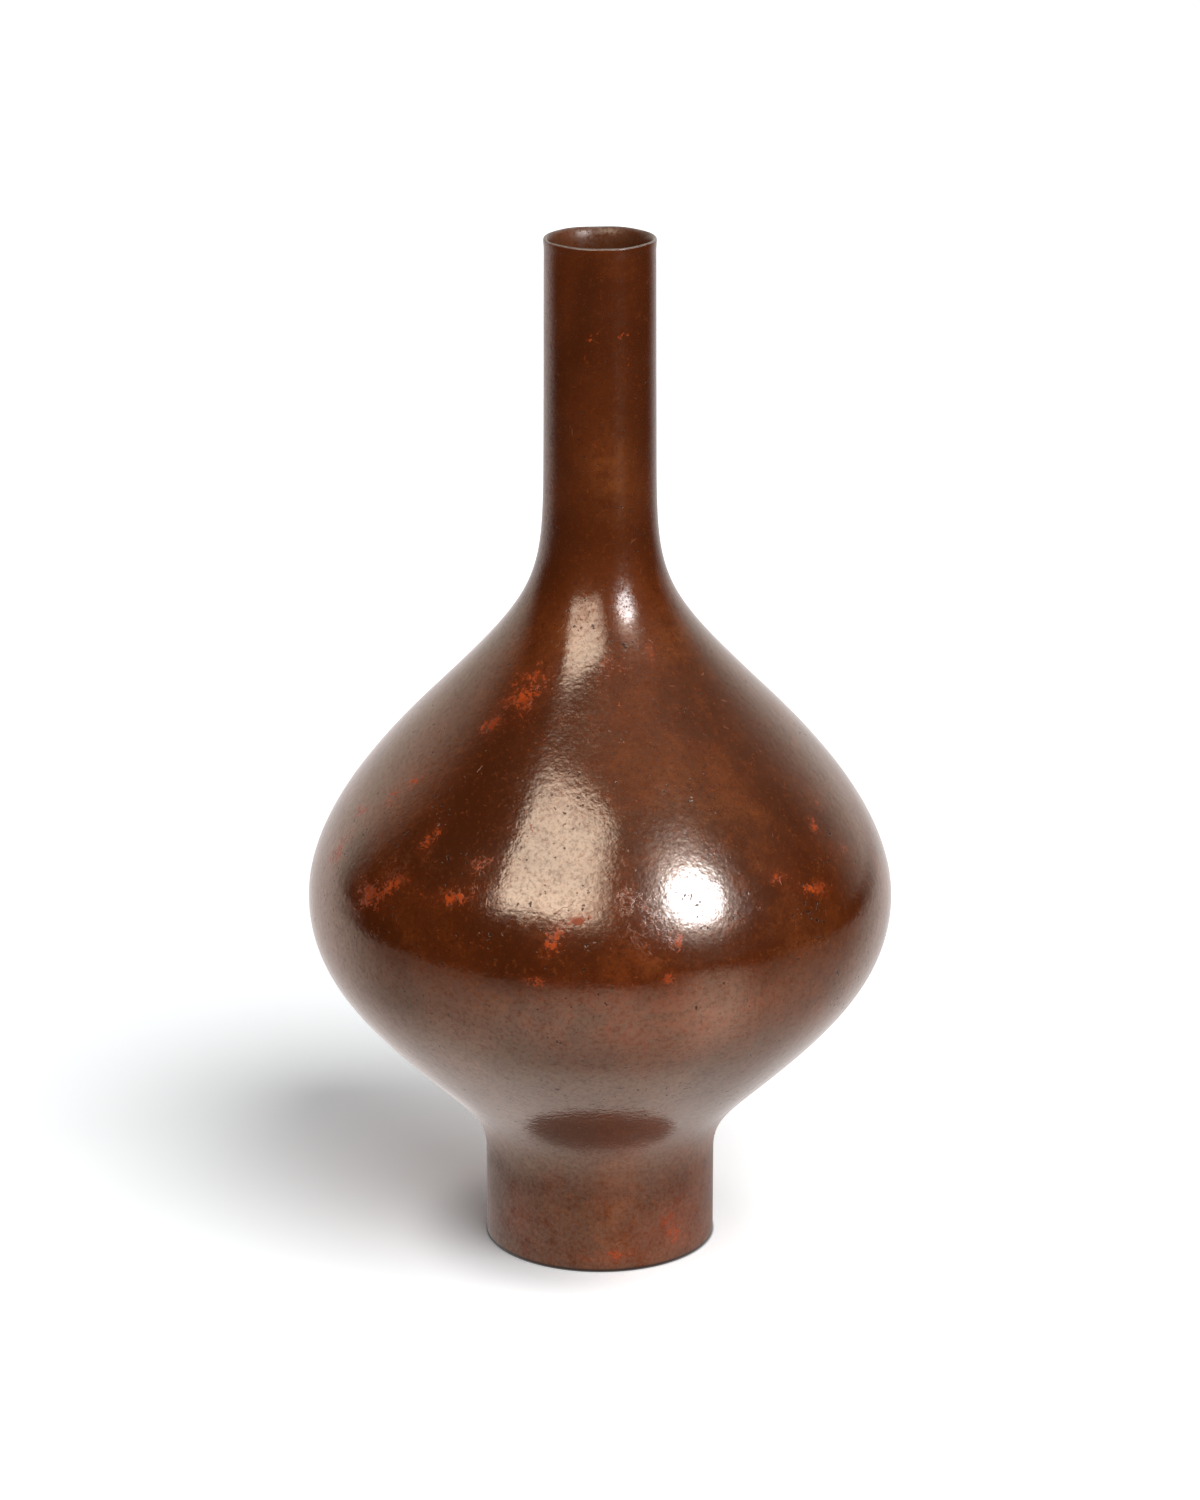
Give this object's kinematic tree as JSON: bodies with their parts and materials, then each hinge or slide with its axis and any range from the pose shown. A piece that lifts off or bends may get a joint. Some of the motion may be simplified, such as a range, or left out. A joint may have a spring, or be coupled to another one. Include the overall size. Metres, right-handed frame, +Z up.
{
  "type": "bronze vase",
  "caption": "Cast bronze flower vase with a round belly, a long slender neck whose mouth opens like a trumpet inside a thin rounded lip, and a straight foot closed by an inset, soldered base plate.",
  "frame": {"origin": "bottom centre of the foot, on the surface that the vase stands on", "axes": "+Z up along the vase's axis, towards the mouth; +X and +Y are alike, because the vase is turned about +Z"},
  "size_m": [0.1698, 0.1698, 0.3],
  "materials": {
    "patinated_bronze": "waxed red-brown patina, glossy",
    "plate_bronze": "dull brown, turned",
    "old_solder": "dull grey, oxidised"
  },
  "bodies": {
    "root": {"vase_shell": "patinated_bronze", "base_plate": "plate_bronze", "solder_fillet": "old_solder"}
  },
  "joints": []
}
